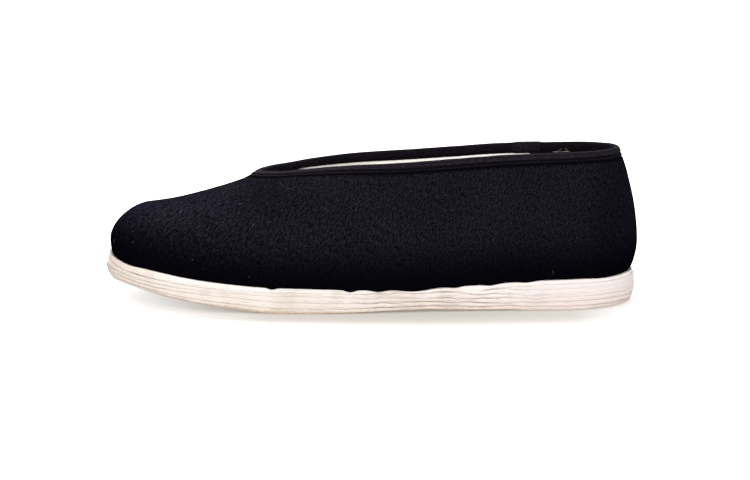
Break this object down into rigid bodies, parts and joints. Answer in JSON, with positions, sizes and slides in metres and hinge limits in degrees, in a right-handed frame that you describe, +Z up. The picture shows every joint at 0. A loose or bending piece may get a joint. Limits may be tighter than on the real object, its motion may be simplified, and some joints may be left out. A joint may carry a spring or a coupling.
{
  "type": "chinese cloth shoe",
  "caption": "Man's left slip-on cloth shoe, shown outer side on: low black twill upper, round bound collar, white lining and a thick sole of stacked white cloth plies.",
  "frame": {"origin": "on the floor, under the middle of the shoe's length and width", "axes": "+X from the toe to the heel, +Y from the outer to the inner side of the foot, +Z up"},
  "size_m": [0.273, 0.0984, 0.0795],
  "materials": {
    "twill": "matt black twill",
    "tape": "matt black folded tape",
    "ply": "matt cream-white cotton",
    "ground": "matt tan-stained cotton",
    "lining": "matt white cotton"
  },
  "bodies": {
    "root": {"upper": "twill", "collar_binding": "tape", "insole": "lining", "sole_ply_1": "ground", "sole_ply_2": "ply", "sole_ply_3": "ply", "sole_ply_4": "ply", "sole_ply_5": "ply", "heel_ply_1": "ply", "heel_ply_2": "ply"}
  },
  "joints": []
}
